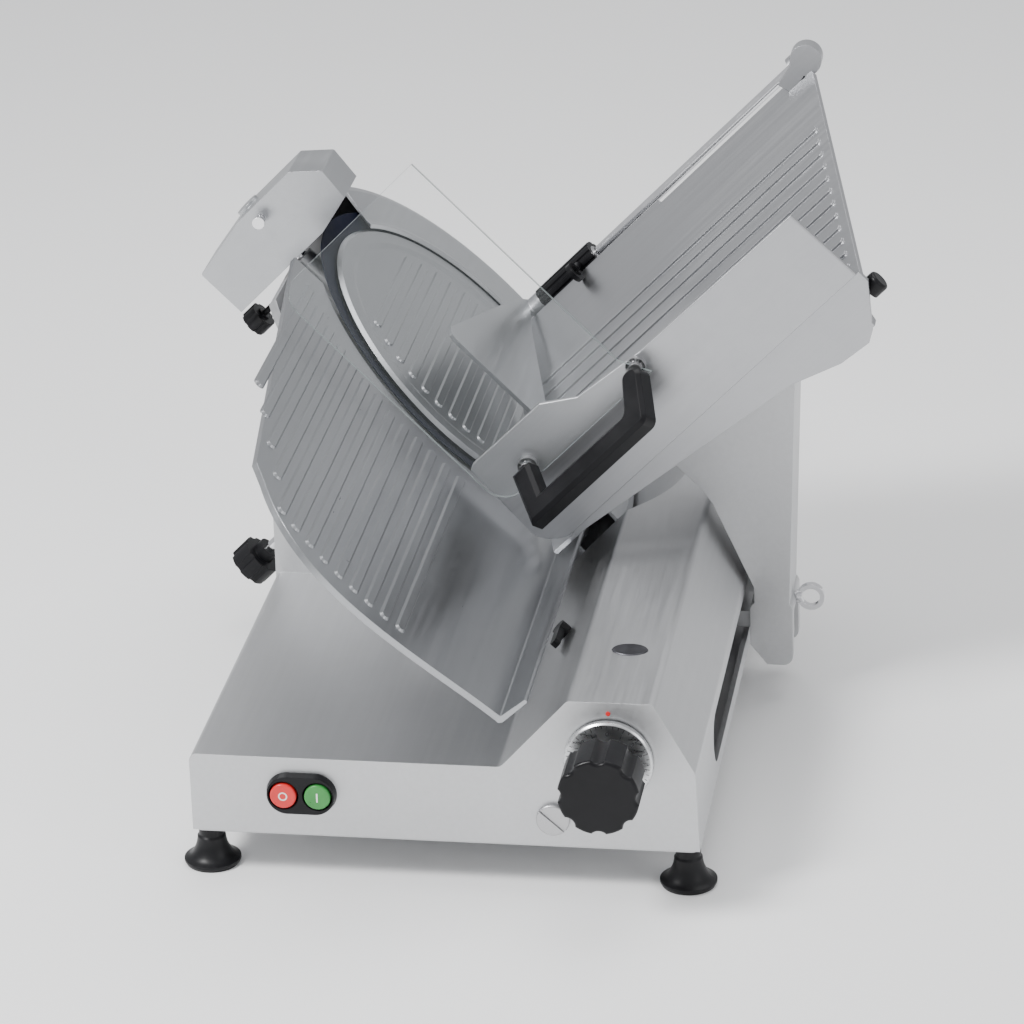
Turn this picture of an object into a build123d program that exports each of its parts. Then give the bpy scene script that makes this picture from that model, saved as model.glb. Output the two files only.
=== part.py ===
from build123d import *
import os
from math import cos, sin, radians

os.makedirs("parts", exist_ok=True)

# Deli meat slicer, gravity feed, with a 370 mm blade.
# Frame: +X to the user's right, +Y away from the user, +Z up, millimetres.
# The origin is on the table, under the middle of the whole machine.

# ---------------------------------------------------------------- driving dimensions
left_x = -248.9           # left side of the base
front_y = -334.5          # front face of the base
base_width = 443.0
base_depth = 620.0
base_z = 44.0             # underside of the casting, on its feet
deck_z = 117.0            # low deck on the left
ridge_z = 182.0           # raised ridge on the right
ridge_x0 = 331.0
ridge_x1 = 404.0
crease_x = 272.0
shoulder_x = 440.0
shoulder_z = 118.0
wall = 5.0

feed_tilt = 45.0          # the feed direction rises by this angle
blade_radius = 185.0
blade_y = 525.0           # blade axis, from the front face
blade_x = 165.0           # blade centre, from the left side
blade_z = 280.0
cover_radius = 164.0
guard_radius = 216.0
dish_radius = 210.0
dish_s = -44.0            # front of the dish behind the blade, along the feed axis

carriage_end = 9.0        # blade side end of the carriage, in front of the blade plane
tray_front = -215.0       # front wall of the tray, from the blade axis
fold_u = -148.0           # fold between the tray's floor and its front wall
floor_slope = 21.5
floor_width = 322.0

turn_gap = 0.3            # between curved faces on different bodies
run_gap = 0.05            # radial running clearance

# ---------------------------------------------------------------- reference frames
feed = Vector(cos(radians(feed_tilt)), 0, sin(radians(feed_tilt)))
climb = Vector(-sin(radians(feed_tilt)), 0, cos(radians(feed_tilt)))
centre = Vector(left_x + blade_x, front_y + blade_y, blade_z)


def at(s, y, u):
    """A point given along the feed axis, front to back, and up the blade plane."""
    return centre + feed * s + Vector(0, y, 0) + climb * u


def blade_plane(s, y=0.0, u=0.0):
    """Parallel to the blade: local x runs back, local y climbs, local z is the feed axis."""
    return Plane(origin=at(s, y, u), x_dir=(0, 1, 0), z_dir=feed)


def cross_plane(y):
    """Across the machine: local x is the feed axis, local y climbs, extrusion comes forward."""
    return Plane(origin=at(0, y, 0), x_dir=feed, z_dir=(0, -1, 0))


def front_plane(y):
    """Vertical, facing the user, with its corner at the base's lower left."""
    return Plane(origin=(left_x, front_y + y, 0), x_dir=(1, 0, 0), z_dir=(0, -1, 0))


floor_across = Vector(0, cos(radians(floor_slope)), 0) + climb * sin(radians(floor_slope))
floor_up = feed.cross(floor_across)


def floor_plane(height):
    """On the tray's floor: local x is the feed axis, local y runs up the floor to the back."""
    return Plane(origin=at(0, tray_front, fold_u) + floor_up * height, x_dir=feed, z_dir=floor_up)


def base_point(x, y, z):
    return Vector(left_x + x, front_y + y, z)


def save(piece, name):
    piece.part.label = name
    export_step(piece.part, "parts/" + name + ".step")


def lobed_outline(radius, lobes, depth):
    """A round grip outline with shallow hollows between its lobes."""
    Circle(radius)
    with PolarLocations(radius + depth * 1.6, lobes):
        Circle(depth * 2.6, mode=Mode.SUBTRACT)


# ---------------------------------------------------------------- base casting
base_outline = [
    (0, base_z), (0, deck_z), (crease_x, deck_z), (ridge_x0, ridge_z),
    (ridge_x1, ridge_z), (shoulder_x, shoulder_z), (base_width, base_z),
]
hollow_outline = [
    (wall, base_z - 1), (wall, deck_z - wall), (crease_x + 2, deck_z - wall),
    (ridge_x0 + 2, ridge_z - wall), (ridge_x1 - 3, ridge_z - wall),
    (shoulder_x - wall, shoulder_z - 1), (base_width - wall, base_z - 1),
]
column_front = 385.0
column_outline = [(0, 100), (0, 235), (70, 313), (266, 117), (266, 100)]
column_hollow = [(6, 80), (6, 232), (72, 291), (241, 122), (262, 80)]
slot_low = 58.0
slot_high = 104.0
slot_front = 128.0
slot_back = 600.0
index_x = 366.0
index_z = 128.0
plug_x = 317.0
plug_z = 70.0
switch_x = 98.0
switch_z = 84.0
gauge_y = -250.0          # support column of the gauge plate, from the blade axis
gauge_u = -110.0
motor_u = -122.0
scoop_radius = guard_radius + 3
post_s = -36.0            # post that the sharpener lifts and turns on
post_y = -4.0
post_radius = 6.0
clamp_u = 168.0           # screw that clamps the post
clamp_radius = 3.0

with BuildPart() as hollow:
    with BuildSketch(front_plane(wall)):
        with BuildLine():
            Polyline(hollow_outline, close=True)
        make_face()
    extrude(amount=-(base_depth - 2 * wall))
    with BuildSketch(front_plane(column_front + wall)):
        with BuildLine():
            Polyline(column_hollow, close=True)
        make_face()
    extrude(amount=-(base_depth - column_front - 2 * wall))
    with BuildSketch(blade_plane(dish_s - 14)):
        Circle(scoop_radius + wall)
    extrude(amount=400, mode=Mode.SUBTRACT)

with BuildPart() as base_housing:
    with BuildSketch(front_plane(0)):
        with BuildLine():
            Polyline(base_outline, close=True)
        make_face()
    extrude(amount=-base_depth)
    long_edges = edges().filter_by(Axis.Y).filter_by(lambda e: e.center().Z > base_z + 20)
    fillet(long_edges, radius=7)
    with BuildSketch(front_plane(column_front)):
        with BuildLine():
            Polyline(column_outline, close=True)
        make_face()
        fillet(vertices().filter_by(lambda v: v.Z > 120), radius=10)
    extrude(amount=-(base_depth - column_front))
    with BuildSketch(blade_plane(dish_s - 9)):
        Circle(scoop_radius)
    extrude(amount=400, mode=Mode.SUBTRACT)
    with BuildSketch(blade_plane(dish_s - 9)):
        Circle(dish_radius)
        with Locations((0, 182 + 40)):
            Rectangle(2 * dish_radius, 80, mode=Mode.SUBTRACT)
    extrude(amount=9)
    with BuildSketch(Plane(origin=at(post_s, post_y, 120), x_dir=(0, 1, 0), z_dir=climb)):
        Circle(11)
    extrude(amount=62)
    add(hollow.part, mode=Mode.SUBTRACT)
    # spindle, motor shaft and sharpener post
    with BuildSketch(blade_plane(dish_s - 20)):
        Circle(15 + run_gap)
    extrude(amount=30, mode=Mode.SUBTRACT)
    with BuildSketch(blade_plane(dish_s - 20, 0, motor_u)):
        Circle(11)
    extrude(amount=30, mode=Mode.SUBTRACT)
    with BuildSketch(Plane(origin=at(post_s, post_y, 126), x_dir=(0, 1, 0), z_dir=climb)):
        Circle(post_radius + run_gap)
    extrude(amount=60, mode=Mode.SUBTRACT)
    with BuildSketch(blade_plane(dish_s - 10, post_y, clamp_u)):
        Circle(clamp_radius + turn_gap)
    extrude(amount=20, mode=Mode.SUBTRACT)
    # way out of the tie rod on the left
    with BuildSketch(blade_plane(-250)):
        Circle(9)
    extrude(amount=60, mode=Mode.SUBTRACT)
    # sleeve of the gauge plate's column through the deck
    with BuildSketch(blade_plane(-170, gauge_y, gauge_u)):
        Circle(21)
    extrude(amount=80, mode=Mode.SUBTRACT)
    # front face: index shaft, plug and switch
    with BuildSketch(front_plane(-1)):
        with Locations((index_x, index_z)):
            Circle(7 + run_gap)
        with Locations((plug_x, plug_z)):
            Circle(10)
        with Locations((switch_x - 15, switch_z), (switch_x + 15, switch_z)):
            Circle(12.5)
    extrude(amount=-(wall + 2), mode=Mode.SUBTRACT)
    # slot of the carriage foot along the right side
    with BuildSketch(Plane(origin=base_point(base_width + 2, 0, 0), x_dir=(0, 1, 0), z_dir=(1, 0, 0))):
        with Locations(((slot_front + slot_back) / 2, (slot_low + slot_high) / 2)):
            SlotOverall(slot_back - slot_front, slot_high - slot_low)
    extrude(amount=-(wall + 8), mode=Mode.SUBTRACT)
    # cable inlet at the back
    with BuildSketch(front_plane(base_depth + 1)):
        with Locations((60, 76)):
            Circle(8)
    extrude(amount=wall + 2, mode=Mode.SUBTRACT)
save(base_housing, "base_housing")

# ---------------------------------------------------------------- bottom plate and feet
plate_thick = 2.0
foot_radius = 25.0
foot_inset_x = 10.0
foot_inset_y = 26.0
foot_places = [
    (x, y)
    for x in (foot_inset_x, base_width - foot_inset_x - 3)
    for y in (foot_inset_y, base_depth - foot_inset_y)
]

with BuildPart() as bottom_plate:
    with BuildSketch(Plane(origin=base_point(base_width / 2, base_depth / 2, base_z - plate_thick))):
        RectangleRounded(base_width - 4, base_depth - 4, 6)
        with GridLocations(base_width - 120, base_depth - 120, 2, 2):
            Circle(2.2, mode=Mode.SUBTRACT)
        with Locations((-110, -170), (-110, 170)):
            with GridLocations(0, 16, 1, 5):
                SlotOverall(70, 5, mode=Mode.SUBTRACT)
    extrude(amount=plate_thick)
save(bottom_plate, "bottom_plate")

with BuildPart() as feet:
    for x, y in foot_places:
        with BuildSketch(Plane(origin=base_point(x, y, 0), x_dir=(1, 0, 0), z_dir=(0, -1, 0))):
            with BuildLine():
                Polyline((4, 0), (foot_radius - 1.5, 0), (foot_radius, 3), (foot_radius, 5))
                Spline((foot_radius, 5), (15.5, 14), (12.5, 26), tangents=((-1, 0.25), (0, 1)))
                Polyline((12.5, 26), (11, 28), (11, base_z - plate_thick), (4, base_z - plate_thick), (4, 0))
            make_face()
        revolve(axis=Axis(base_point(x, y, 0), (0, 0, 1)))
save(feet, "feet")

with BuildPart() as foot_studs:
    for x, y in foot_places:
        with BuildSketch(Plane(origin=base_point(x, y, 8))):
            Circle(3.95)
        extrude(amount=base_z - plate_thick - 8)
save(foot_studs, "foot_studs")

# ---------------------------------------------------------------- ring guard round the back of the blade
guard_start = -102.0
guard_sweep = 166.0
guard_front = 6.0

with BuildPart() as ring_guard:
    start = radians(guard_start)
    radial = Vector(0, cos(start), 0) + climb * sin(start)
    with BuildSketch(Plane(origin=centre, x_dir=radial, z_dir=radial.cross(feed))):
        with BuildLine():
            Polyline(
                (163, 2.5), (166, guard_front - 0.5), (172, guard_front - 1.8), (208, guard_front),
                (guard_radius - 1, guard_front - 2), (guard_radius, guard_front - 7),
                (guard_radius, dish_s - 8), (guard_radius - 4, dish_s - 8), (guard_radius - 4, dish_s),
                (guard_radius - 16, dish_s), (guard_radius - 16, dish_s + 3), (guard_radius - 4, dish_s + 3),
                (guard_radius - 4, guard_front - 8), (206, guard_front - 3.5), (172, 2.4), (163, 2.5),
            )
        make_face()
    revolve(axis=Axis(centre, feed), revolution_arc=guard_sweep)
    with BuildSketch(blade_plane(dish_s - 1)):
        with PolarLocations(guard_radius - 10, 4, -80, 130, endpoint=True):
            Circle(2.6)
    extrude(amount=5, mode=Mode.SUBTRACT)
save(ring_guard, "ring_guard")

with BuildPart() as casting_screws:
    with BuildSketch(Plane(origin=base_point(base_width / 2, base_depth / 2, base_z - plate_thick - 2.2))):
        with GridLocations(base_width - 120, base_depth - 120, 2, 2):
            Circle(4.2)
    extrude(amount=2.2)
    with BuildSketch(blade_plane(dish_s + 3)):
        with PolarLocations(guard_radius - 10, 4, -80, 130, endpoint=True):
            Circle(4.2)
    extrude(amount=2.6)
    with BuildSketch(blade_plane(dish_s + 3)):
        with PolarLocations(guard_radius - 10, 4, -80, 130, endpoint=True):
            Circle(2.5)
    extrude(amount=-3)
save(casting_screws, "casting_screws")

# ---------------------------------------------------------------- blade, hub and drive
spindle_radius = 15.0
rod_radius = 5.0
pulley_radius = 70.0
motor_pulley_radius = 18.0
belt_thick = 4.0
pulley_back = dish_s + 5
blade_back = -15.0


def radial_plane():
    """Holds the blade axis: local x is the radius, local y is the feed axis."""
    return Plane(origin=centre, x_dir=(0, 1, 0), z_dir=Vector(0, 1, 0).cross(feed))


with BuildPart() as blade:
    with BuildSketch(radial_plane()):
        with BuildLine():
            Polyline(
                (18, blade_back), (150, blade_back), (168, -9), (blade_radius, -0.7), (blade_radius, 0),
                (164, -5), (150, -12), (18, -12), (18, blade_back),
            )
        make_face()
    revolve(axis=Axis(centre, feed))
    with BuildSketch(blade_plane(blade_back - 1)):
        with PolarLocations(46, 6):
            Circle(3.3)
    extrude(amount=5, mode=Mode.SUBTRACT)
save(blade, "blade")

with BuildPart() as blade_screws:
    with BuildSketch(blade_plane(-12)):
        with PolarLocations(46, 6):
            Circle(6)
    extrude(amount=2.4)
    with BuildSketch(blade_plane(-12)):
        with PolarLocations(46, 6):
            Circle(3.2)
    extrude(amount=-14)
    with BuildSketch(blade_plane(-9.6)):
        with PolarLocations(46, 6):
            Rectangle(9, 1.4)
    extrude(amount=-1.2, mode=Mode.SUBTRACT)
save(blade_screws, "blade_screws")

with BuildPart() as blade_pulley:
    with BuildSketch(radial_plane()):
        with BuildLine():
            Polyline(
                (26, pulley_back), (34, pulley_back), (34, pulley_back + 6), (62, pulley_back + 6),
                (62, pulley_back), (pulley_radius, pulley_back), (pulley_radius, blade_back - 4),
                (pulley_radius + 3, blade_back - 4), (pulley_radius + 3, blade_back), (26, blade_back),
                (26, pulley_back),
            )
        make_face()
    revolve(axis=Axis(centre, feed))
    with BuildSketch(blade_plane(blade_back)):
        with PolarLocations(46, 6):
            Circle(3.3)
    extrude(amount=-12, mode=Mode.SUBTRACT)
save(blade_pulley, "blade_pulley")

bearing_width = 9.0
with BuildPart() as blade_bearings:
    for back in (pulley_back + 1, pulley_back + 13):
        with BuildSketch(blade_plane(back)):
            Circle(26)
            Circle(spindle_radius + run_gap, mode=Mode.SUBTRACT)
        extrude(amount=bearing_width)
        with BuildSketch(blade_plane(back + bearing_width)):
            Circle(23)
            Circle(18.5, mode=Mode.SUBTRACT)
        extrude(amount=-1, mode=Mode.SUBTRACT)
save(blade_bearings, "blade_bearings")

with BuildPart() as spindle:
    with BuildSketch(blade_plane(-19)):
        Circle(spindle_radius)
    extrude(amount=-41)
    with BuildSketch(blade_plane(dish_s - 14)):
        Circle(34)
    extrude(amount=-6)
    with BuildSketch(blade_plane(-18)):
        Circle(rod_radius + 1)
    extrude(amount=-60, mode=Mode.SUBTRACT)
save(spindle, "spindle")

with BuildPart() as motor:
    with BuildSketch(blade_plane(dish_s - 14, 0, motor_u)):
        Circle(44)
        Circle(11, mode=Mode.SUBTRACT)
    extrude(amount=-8)
    with BuildSketch(blade_plane(dish_s - 22, 0, motor_u)):
        Circle(48)
        with PolarLocations(49, 24):
            Rectangle(4, 3, mode=Mode.SUBTRACT)
    extrude(amount=-62)
    with BuildSketch(blade_plane(dish_s - 84, 0, motor_u)):
        Circle(44)
    extrude(amount=-10)
    with BuildSketch(blade_plane(dish_s - 14, 0, motor_u)):
        Circle(11)
    extrude(amount=-30, mode=Mode.SUBTRACT)
save(motor, "motor")

with BuildPart() as motor_shaft:
    with BuildSketch(blade_plane(pulley_back + 18, 0, motor_u)):
        Circle(6)
    extrude(amount=-(18 + pulley_back - dish_s + 40))
save(motor_shaft, "motor_shaft")

with BuildPart() as motor_pulley:
    with BuildSketch(blade_plane(pulley_back, 0, motor_u)):
        Circle(motor_pulley_radius)
        Circle(6, mode=Mode.SUBTRACT)
    extrude(amount=17)
    with BuildSketch(blade_plane(pulley_back + 17, 0, motor_u)):
        Circle(motor_pulley_radius + 3)
        Circle(6, mode=Mode.SUBTRACT)
    extrude(amount=2)
save(motor_pulley, "motor_pulley")

with BuildPart() as drive_belt:
    with BuildSketch(blade_plane(pulley_back + 2)):
        for grow, cut in ((turn_gap + belt_thick, Mode.ADD), (turn_gap, Mode.SUBTRACT)):
            with BuildSketch(mode=Mode.PRIVATE) as loop:
                Circle(pulley_radius + grow)
                with Locations((0, motor_u)):
                    Circle(motor_pulley_radius + grow)
                make_hull()
            add(loop.sketch, mode=cut)
    extrude(amount=14)
save(drive_belt, "drive_belt")

# ---------------------------------------------------------------- blade cover and its tie rod
rib_pitch = 17.5
rib_width = 11.0
rod_end = -296.0

with BuildPart() as blade_cover:
    with BuildSketch(radial_plane()):
        with BuildLine():
            Polyline(
                (0, 0), (140, 0), (146, 1.6), (160, 1.6), (cover_radius, -1.6), (cover_radius - 5, -3.4),
                (140, -4.2), (16, -4.2), (16, -8), (9, -8), (9, -19), (0, -19), (0, 0),
            )
        make_face()
    revolve(axis=Axis(centre, feed))
    for i in range(-5, 7):
        u = i * rib_pitch - 8
        half = (138 ** 2 - u ** 2) ** 0.5 - 8
        with BuildSketch(blade_plane(-0.5)):
            with Locations((0, u)):
                SlotOverall(2 * half, rib_width)
        extrude(amount=2.3, taper=40)
    with BuildSketch(blade_plane(-20)):
        Circle(rod_radius)
    extrude(amount=15, mode=Mode.SUBTRACT)
save(blade_cover, "blade_cover")

with BuildPart() as tie_rod:
    with BuildSketch(blade_plane(-5.5)):
        Circle(rod_radius - run_gap)
    extrude(amount=rod_end + 8 + 5.5)
save(tie_rod, "tie_rod")

with BuildPart() as tie_knob:
    with BuildSketch(blade_plane(rod_end + 12)):
        Circle(11)
    extrude(amount=-10)
    with BuildSketch(blade_plane(rod_end + 2)):
        lobed_outline(21, 7, 2)
    extrude(amount=-22)
    fillet(faces().sort_by(Axis(centre, feed))[0].edges(), radius=1.5)
    with BuildSketch(blade_plane(rod_end + 13)):
        Circle(rod_radius - run_gap)
    extrude(amount=-5, mode=Mode.SUBTRACT)
save(tie_knob, "tie_knob")

# ---------------------------------------------------------------- gauge plate and its slide
plate_face = -2.0          # ribs stand up from here to the blade plane
plate_thick_g = 6.0
lip_u = -157.0
column_radius = 12.0
sleeve_radius = 21.0

with BuildPart() as gauge_plate:
    with BuildSketch(blade_plane(plate_face)):
        with BuildLine():
            Line((-530, lip_u), (-112, lip_u))
            Line((-112, lip_u), (-112, -145))
            Line((-112, -145), (-100, -145))
            Line((-100, -145), (-100, 197))
            Line((-100, 197), (-488, 139))
            Line((-488, 139), (-506, 125))
            Spline((-506, 125), (-566, 35), (-556, -60), (-530, lip_u))
        make_face()
        Circle(blade_radius + 4, mode=Mode.SUBTRACT)
    extrude(amount=-plate_thick_g)
    for i in range(-3, 10):
        u = i * rib_pitch + 12
        near = -(blade_radius + 22) if abs(u) < 60 else -((blade_radius + 24) ** 2 - u ** 2) ** 0.5
        far = -552 + 0.0022 * (u - 10) ** 2 if u < 110 else -505 + (u - 110) * 2.2
        with BuildSketch(blade_plane(plate_face - 0.5, (near + far) / 2, u)):
            SlotOverall(near - far - 8, rib_width)
        extrude(amount=2.5, taper=40)
    with BuildSketch(cross_plane(-116)):
        with BuildLine():
            Polyline(
                (plate_face - 6, lip_u + 1), (plate_face, lip_u + 1), (plate_face + 1, lip_u),
                (24, lip_u - 3), (25.5, lip_u - 4.5), (24.5, lip_u - 6.5),
                (plate_face - 3, lip_u - 5), (plate_face - 6, lip_u - 3), close=True,
            )
        make_face()
    extrude(amount=414)
save(gauge_plate, "gauge_plate")

column_low = -190.0
follower_z = 84.0
with BuildPart() as gauge_column:
    with BuildSketch(blade_plane(plate_face - plate_thick_g, gauge_y, gauge_u)):
        RectangleRounded(100, 60, 10)
    extrude(amount=-8)
    with BuildSketch(blade_plane(plate_face - plate_thick_g - 8, gauge_y, gauge_u)):
        Circle(24)
    extrude(amount=-20, taper=25)
    with BuildSketch(blade_plane(plate_face - plate_thick_g - 8, gauge_y, gauge_u)):
        Circle(column_radius)
    extrude(amount=column_low + 16)
save(gauge_column, "gauge_column")

with BuildPart() as gauge_sleeve:
    with BuildSketch(blade_plane(-160, gauge_y, gauge_u)):
        Circle(sleeve_radius)
        Circle(column_radius + run_gap, mode=Mode.SUBTRACT)
    extrude(amount=48)
    with BuildSketch(blade_plane(-112, gauge_y, gauge_u)):
        Circle(sleeve_radius)
        Circle(column_radius + 1.5, mode=Mode.SUBTRACT)
    extrude(amount=6)
save(gauge_sleeve, "gauge_sleeve")

follower_x = index_x - 46.0   # upright of the follower
follower_nose = index_x - 17.5
column_foot = base_point(0, 0, 0) - at(column_low + 8, gauge_y, gauge_u)
foot_x = -column_foot.X
foot_y = -column_foot.Y
foot_z = -column_foot.Z
with BuildPart() as follower_arm:
    with BuildSketch(blade_plane(column_low + 14, gauge_y, gauge_u)):
        Circle(20)
    extrude(amount=-12)
    with BuildSketch(Plane(origin=base_point((foot_x + follower_x + 10) / 2 + 2, foot_y, foot_z - 14))):
        Rectangle(follower_x + 10 - foot_x - 4, 14)
    extrude(amount=8)
    with BuildSketch(Plane(origin=base_point(follower_x + 5, foot_y, foot_z - 14))):
        Rectangle(10, 14)
    extrude(amount=index_z - foot_z + 20)
    with BuildSketch(Plane(origin=base_point((follower_x + follower_nose) / 2, foot_y, index_z - 8))):
        Rectangle(follower_nose - follower_x, 14)
    extrude(amount=14)
    with BuildSketch(blade_plane(column_low + 40, gauge_y, gauge_u)):
        Circle(column_radius)
    extrude(amount=-60, mode=Mode.SUBTRACT)
save(follower_arm, "follower_arm")

# ---------------------------------------------------------------- index knob, dial, shaft and cam
knob_front = -72.0
dial_radius = 38.5
cam_y = blade_y + gauge_y
with BuildPart() as dial:
    with BuildSketch(front_plane(-2)):
        with Locations((index_x, index_z)):
            Circle(dial_radius)
            Circle(7, mode=Mode.SUBTRACT)
    extrude(amount=6)
    chamfer(edges().sort_by(Axis.Y)[0], length=1.5)
save(dial, "dial")

with BuildPart() as index_knob:
    with BuildSketch(front_plane(-8)):
        with Locations((index_x, index_z)):
            Circle(19)
            Circle(7, mode=Mode.SUBTRACT)
    extrude(amount=20, taper=-12)
    with BuildSketch(front_plane(-28)):
        with Locations((index_x, index_z)):
            with BuildSketch(mode=Mode.PRIVATE) as grip:
                lobed_outline(35, 8, 3.2)
            add(grip.sketch)
    extrude(amount=-knob_front - 28)
    fillet(faces().sort_by(Axis.Y)[0].edges(), radius=3)
    with BuildSketch(front_plane(-7)):
        with Locations((index_x, index_z)):
            Circle(7)
    extrude(amount=41, mode=Mode.SUBTRACT)
save(index_knob, "index_knob")

with BuildPart() as index_shaft:
    with BuildSketch(front_plane(-48)):
        with Locations((index_x, index_z)):
            Circle(7)
    extrude(amount=-(48 + cam_y + 12))
save(index_shaft, "index_shaft")

with BuildPart() as index_cam:
    with BuildSketch(front_plane(cam_y - 4)):
        with Locations((index_x + 5, index_z)):
            Circle(22)
        with Locations((index_x, index_z)):
            Circle(7, mode=Mode.SUBTRACT)
    extrude(amount=-8)
    with BuildSketch(front_plane(cam_y - 12)):
        with Locations((index_x, index_z)):
            Circle(13)
            Circle(7, mode=Mode.SUBTRACT)
    extrude(amount=-8)
save(index_cam, "index_cam")

with BuildPart() as index_mark:
    with BuildSketch(front_plane(0)):
        with Locations((index_x, index_z + dial_radius + 5.5)):
            Circle(2)
    extrude(amount=0.8)
save(index_mark, "index_mark")

with BuildPart() as slotted_plug:
    with BuildSketch(front_plane(0)):
        with Locations((plug_x, plug_z)):
            Circle(14.5)
    extrude(amount=5)
    fillet(edges().sort_by(Axis.Y)[0], radius=1.5)
    with BuildSketch(front_plane(0)):
        with Locations((plug_x, plug_z)):
            Circle(10)
    extrude(amount=-14)
    with BuildSketch(front_plane(-6)):
        with Locations((plug_x, plug_z)):
            Rectangle(34, 3, rotation=-42)
    extrude(amount=-2.5, mode=Mode.SUBTRACT)
save(slotted_plug, "slotted_plug")

# ---------------------------------------------------------------- switch
button_radius = 11.5
button_places = {"stop_button": switch_x - 15, "start_button": switch_x + 15}
with BuildPart() as switch_panel:
    with BuildSketch(front_plane(0)):
        with Locations((switch_x, switch_z)):
            SlotOverall(62, 38)
        with Locations((switch_x - 15, switch_z), (switch_x + 15, switch_z)):
            Circle(button_radius + turn_gap, mode=Mode.SUBTRACT)
    extrude(amount=7, taper=12)
    with BuildSketch(front_plane(0)):
        with Locations((switch_x - 15, switch_z), (switch_x + 15, switch_z)):
            Circle(12.5)
            Circle(button_radius + turn_gap, mode=Mode.SUBTRACT)
    extrude(amount=-wall)
save(switch_panel, "switch_panel")

with BuildPart() as switch_box:
    with BuildSketch(front_plane(wall)):
        with Locations((switch_x, switch_z)):
            RectangleRounded(64, 34, 3)
    extrude(amount=-36)
    with BuildSketch(front_plane(wall)):
        with Locations((switch_x - 15, switch_z), (switch_x + 15, switch_z)):
            Circle(button_radius + 0.5)
    extrude(amount=-14, mode=Mode.SUBTRACT)
save(switch_box, "switch_box")

for name, x in button_places.items():
    with BuildPart() as button:
        with BuildSketch(front_plane(wall + 8)):
            with Locations((x, switch_z)):
                Circle(button_radius)
        extrude(amount=wall + 8 + 9)
        fillet(edges().sort_by(Axis.Y)[0], radius=1.6)
    save(button, name)

with BuildPart() as control_box:
    with BuildSketch(front_plane(420)):
        with Locations((56, 80)):
            RectangleRounded(80, 50, 4)
    extrude(amount=-90)
save(control_box, "control_box")

with BuildPart() as cable_gland:
    with BuildSketch(front_plane(base_depth)):
        with Locations((60, 76)):
            RegularPolygon(12, 6)
            Circle(4, mode=Mode.SUBTRACT)
    extrude(amount=-8)
    with BuildSketch(front_plane(base_depth + 8)):
        with Locations((60, 76)):
            Circle(9)
            Circle(4, mode=Mode.SUBTRACT)
    extrude(amount=-8)
    with BuildSketch(front_plane(base_depth)):
        with Locations((60, 76)):
            Circle(8)
            Circle(4, mode=Mode.SUBTRACT)
    extrude(amount=14)
save(cable_gland, "cable_gland")

# ---------------------------------------------------------------- carriage rail and foot
rail_x = 396.0
rail_z = 78.0
rail_radius = 10.0
guide_x = 352.0
guide_radius = 6.0
carriage_y = -125.0       # front of the carriage arm, from the blade axis
arm_width = 70.0
arm_y = blade_y + carriage_y
hinge_x = 464.0
hinge_z = 60.0

with BuildPart() as carriage_rails:
    for x, radius in ((rail_x, rail_radius), (guide_x, guide_radius)):
        with BuildSketch(front_plane(16)):
            with Locations((x, rail_z)):
                Circle(radius)
        extrude(amount=-(base_depth - 32))
save(carriage_rails, "carriage_rails")

with BuildPart() as rail_brackets:
    for near, far in ((wall, wall + 19), (base_depth - wall - 19, base_depth - wall)):
        with BuildSketch(front_plane(near)):
            with Locations(((rail_x + guide_x) / 2, rail_z - 1)):
                RectangleRounded(78, 36, 5)
        extrude(amount=-(far - near))
    with BuildSketch(front_plane(16)):
        with Locations((rail_x, rail_z)):
            Circle(rail_radius)
        with Locations((guide_x, rail_z)):
            Circle(guide_radius)
    extrude(amount=-(base_depth - 32), mode=Mode.SUBTRACT)
save(rail_brackets, "rail_brackets")

with BuildPart() as carriage_foot:
    with BuildSketch(front_plane(arm_y + 1)):
        with Locations((rail_x, rail_z)):
            RectangleRounded(40, 34, 6)
        with Locations(((rail_x + guide_x) / 2 - 6, rail_z)):
            Rectangle(46, 20)
        with Locations((guide_x, rail_z)):
            Rectangle(30, 20)
            Circle(guide_radius + turn_gap, mode=Mode.SUBTRACT)
        with Locations((rail_x, rail_z)):
            Circle(14, mode=Mode.SUBTRACT)
    extrude(amount=-(arm_width - 2))
    with BuildSketch(front_plane(arm_y + 13)):
        with Locations(((rail_x + hinge_x) / 2 + 12, hinge_z + 14)):
            Rectangle(hinge_x - rail_x - 8, 16)
        with Locations((hinge_x, hinge_z)):
            Circle(12)
    extrude(amount=-(arm_width - 26))
    with BuildSketch(front_plane(arm_y + 1)):
        with Locations((hinge_x, hinge_z)):
            Circle(5)
        with Locations((rail_x, rail_z)):
            Circle(14)
    extrude(amount=-(arm_width - 2), mode=Mode.SUBTRACT)
save(carriage_foot, "carriage_foot")

with BuildPart() as carriage_bushes:
    for near in (arm_y + 1, arm_y + arm_width - 21):
        with BuildSketch(front_plane(near)):
            with Locations((rail_x, rail_z)):
                Circle(14)
                Circle(rail_radius + run_gap, mode=Mode.SUBTRACT)
        extrude(amount=-20)
save(carriage_bushes, "carriage_bushes")

with BuildPart() as hinge_pin:
    with BuildSketch(front_plane(arm_y + 4)):
        with Locations((hinge_x, hinge_z)):
            Circle(5)
    extrude(amount=-(arm_width - 2))
save(hinge_pin, "hinge_pin")

# ---------------------------------------------------------------- tray, front wall and arm
floor_thick = 5.0
tray_right = 402.0
tray_right_back = 420.0
tray_rib_pitch = 18.7
rod_y = 110.0             # rod of the pusher, along the top edge of the floor
rod_u = -27.0
pusher_rod_radius = 5.0
rod_low = 23.0
rod_high = 412.0
support_width = 14.0

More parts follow.
